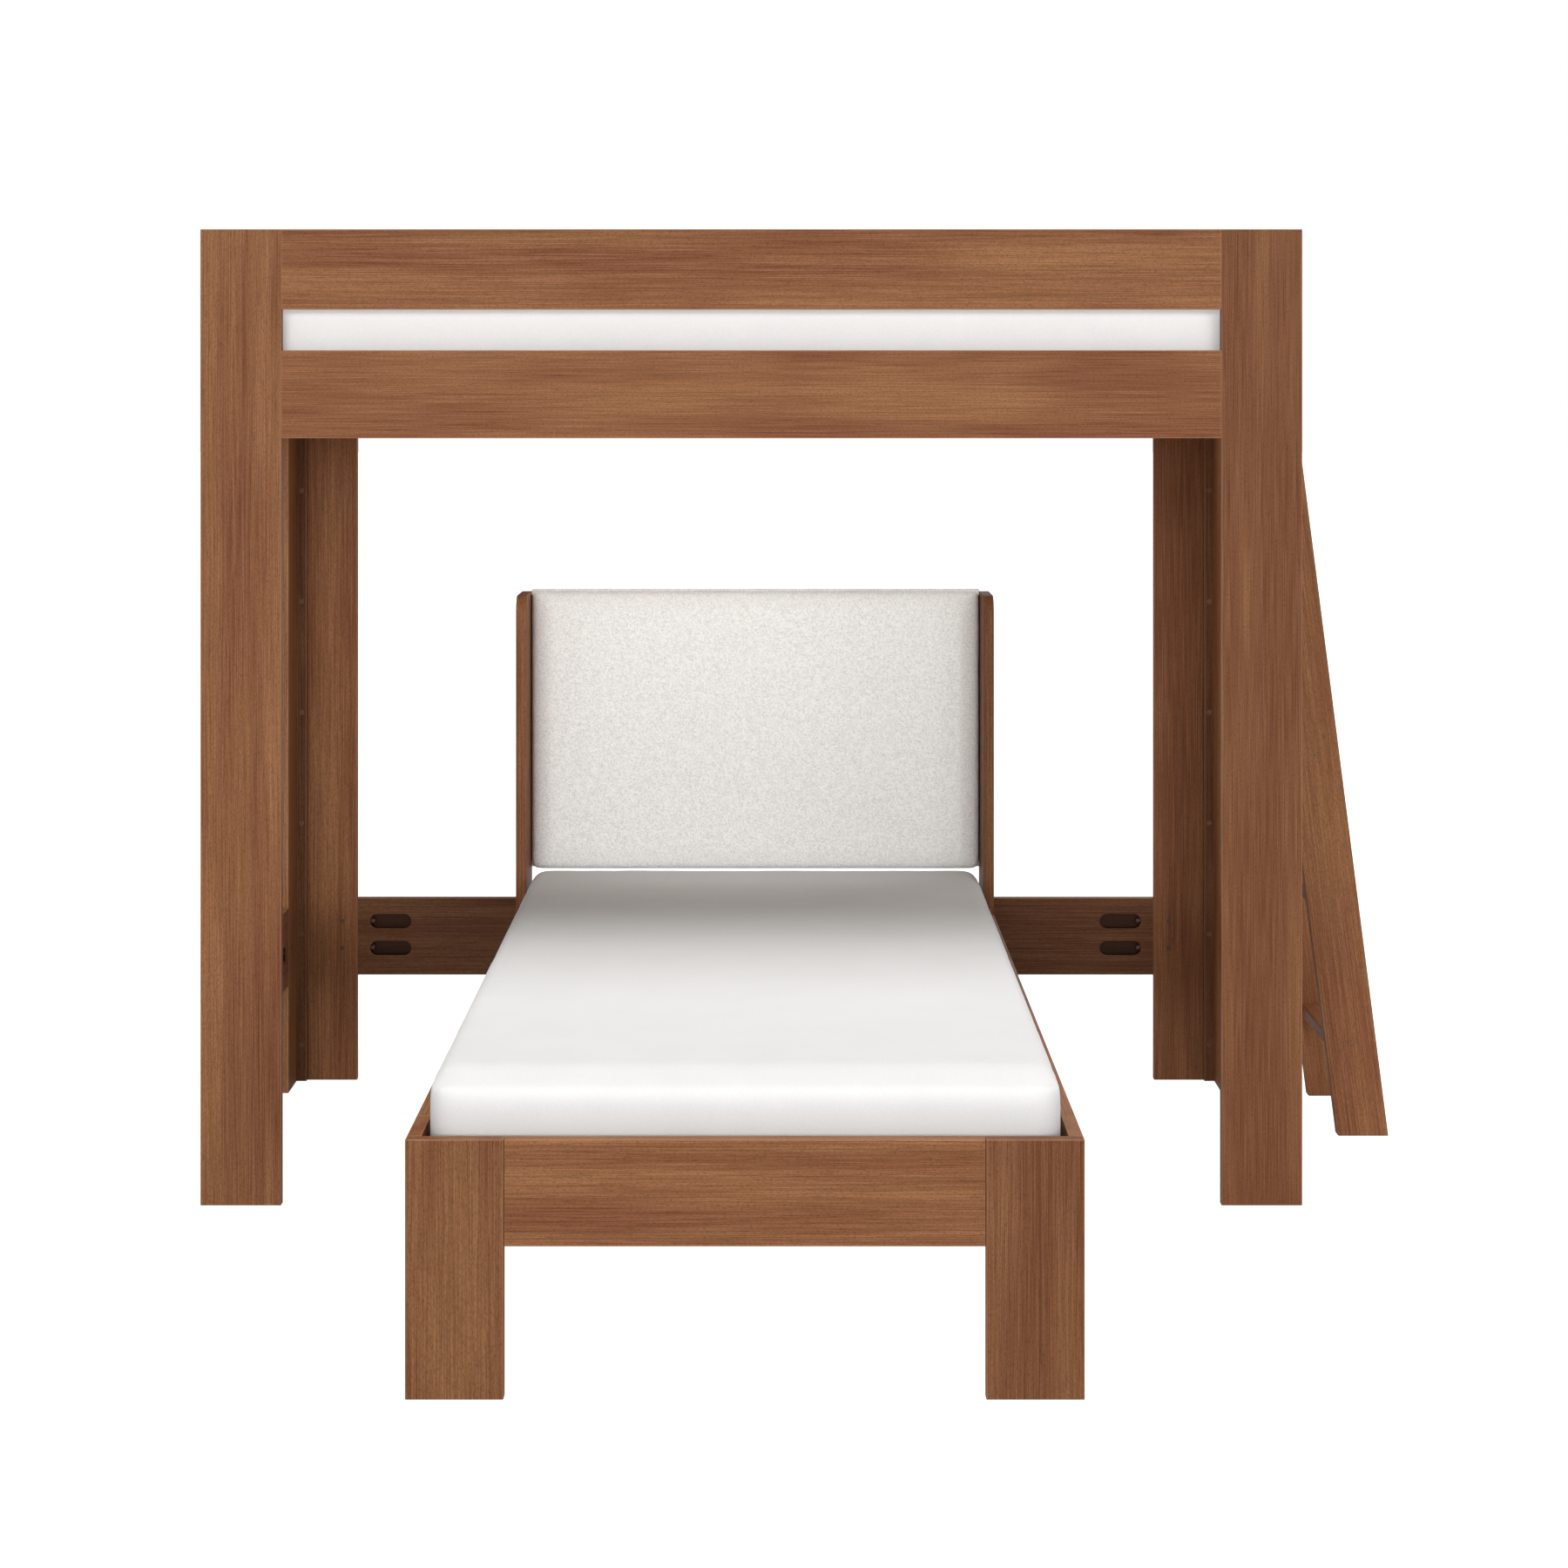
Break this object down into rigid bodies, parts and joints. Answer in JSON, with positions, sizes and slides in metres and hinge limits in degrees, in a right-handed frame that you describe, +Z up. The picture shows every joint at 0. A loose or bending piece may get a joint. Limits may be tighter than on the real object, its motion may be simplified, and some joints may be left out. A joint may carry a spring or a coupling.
{
  "type": "l-shaped bunk bed",
  "caption": "Loft bed of flat wooden boards with a free-standing lower bed at a right angle under it, an upholstered headboard between wings, mattresses and a leaning end ladder.",
  "frame": {"origin": "on the floor, at the middle of the whole footprint", "axes": "+X along the loft bed towards the ladder, +Y from the lower bed's foot to the wall behind the loft bed, +Z up"},
  "size_m": [2.307, 2.082, 1.81],
  "materials": {
    "walnut_wood": "satin, straight wire-brushed grain",
    "slat_wood": "bare sanded pale wood",
    "bronze_screws": "dark bronze",
    "hook_steel": "matt dark",
    "headboard_fabric": "off-white woven cloth",
    "mattress_fabric": "smooth white knit"
  },
  "bodies": {
    "loft_frame": {"front_left_post_face": "walnut_wood", "front_right_post_face": "walnut_wood", "rear_left_post_face": "walnut_wood", "rear_right_post_face": "walnut_wood", "front_left_post_side": "walnut_wood", "front_right_post_side": "walnut_wood", "rear_left_post_side": "walnut_wood", "rear_right_post_side": "walnut_wood", "front_left_corner_cleat": "walnut_wood", "front_right_corner_cleat": "walnut_wood", "rear_left_corner_cleat": "walnut_wood", "rear_right_corner_cleat": "walnut_wood", "front_guard_rail": "walnut_wood", "rear_guard_rail": "walnut_wood", "left_guard_rail": "walnut_wood", "right_guard_rail": "walnut_wood", "entry_stile": "walnut_wood", "front_bed_rail": "walnut_wood", "rear_bed_rail": "walnut_wood", "left_bed_rail": "walnut_wood", "right_bed_rail": "walnut_wood", "rear_stretcher": "walnut_wood", "left_stretcher": "walnut_wood", "right_stretcher": "walnut_wood", "front_slat_ledger": "slat_wood", "rear_slat_ledger": "slat_wood", "loft_slats": "slat_wood", "loft_connector_bolts": "bronze_screws", "loft_barrel_nuts": "bronze_screws", "corner_cleat_screws": "bronze_screws", "loft_slat_screws": "bronze_screws"},
    "ladder": {"front_stringer": "walnut_wood", "rear_stringer": "walnut_wood", "tread_1": "walnut_wood", "tread_2": "walnut_wood", "tread_3": "walnut_wood", "tread_4": "walnut_wood", "tread_5": "walnut_wood", "ladder_hooks": "hook_steel", "ladder_screws": "bronze_screws"},
    "lower_bed": {"foot_left_leg_face": "walnut_wood", "foot_right_leg_face": "walnut_wood", "foot_left_leg_side": "walnut_wood", "foot_right_leg_side": "walnut_wood", "foot_leg_cleats": "walnut_wood", "footboard_panel": "walnut_wood", "left_side_rail": "walnut_wood", "right_side_rail": "walnut_wood", "left_headboard_wing": "walnut_wood", "right_headboard_wing": "walnut_wood", "head_rail": "walnut_wood", "headboard_backing": "walnut_wood", "headboard_cushion": "headboard_fabric", "bed_slat_ledgers": "slat_wood", "bed_slats": "slat_wood", "bed_connector_bolts": "bronze_screws", "bed_barrel_nuts": "bronze_screws", "bed_screws": "bronze_screws"},
    "loft_mattress_body": {"loft_mattress": "mattress_fabric"},
    "lower_mattress_body": {"lower_mattress": "mattress_fabric"}
  },
  "joints": [
    {"name": "ladder_lift", "type": "slide", "parent": "loft_frame", "child": "ladder", "axis": [0, 0, 1], "range_m": [0, 0.06]},
    {"name": "loft_mattress_lift", "type": "slide", "parent": "loft_frame", "child": "loft_mattress_body", "axis": [0, 0, 1], "range_m": [0, 0.4]},
    {"name": "lower_bed_pull", "type": "slide", "parent": "loft_frame", "child": "lower_bed", "axis": [0, -1, 0], "range_m": [0, 1]},
    {"name": "lower_mattress_lift", "type": "slide", "parent": "lower_bed", "child": "lower_mattress_body", "axis": [0, 0, 1], "range_m": [0, 0.3]}
  ]
}
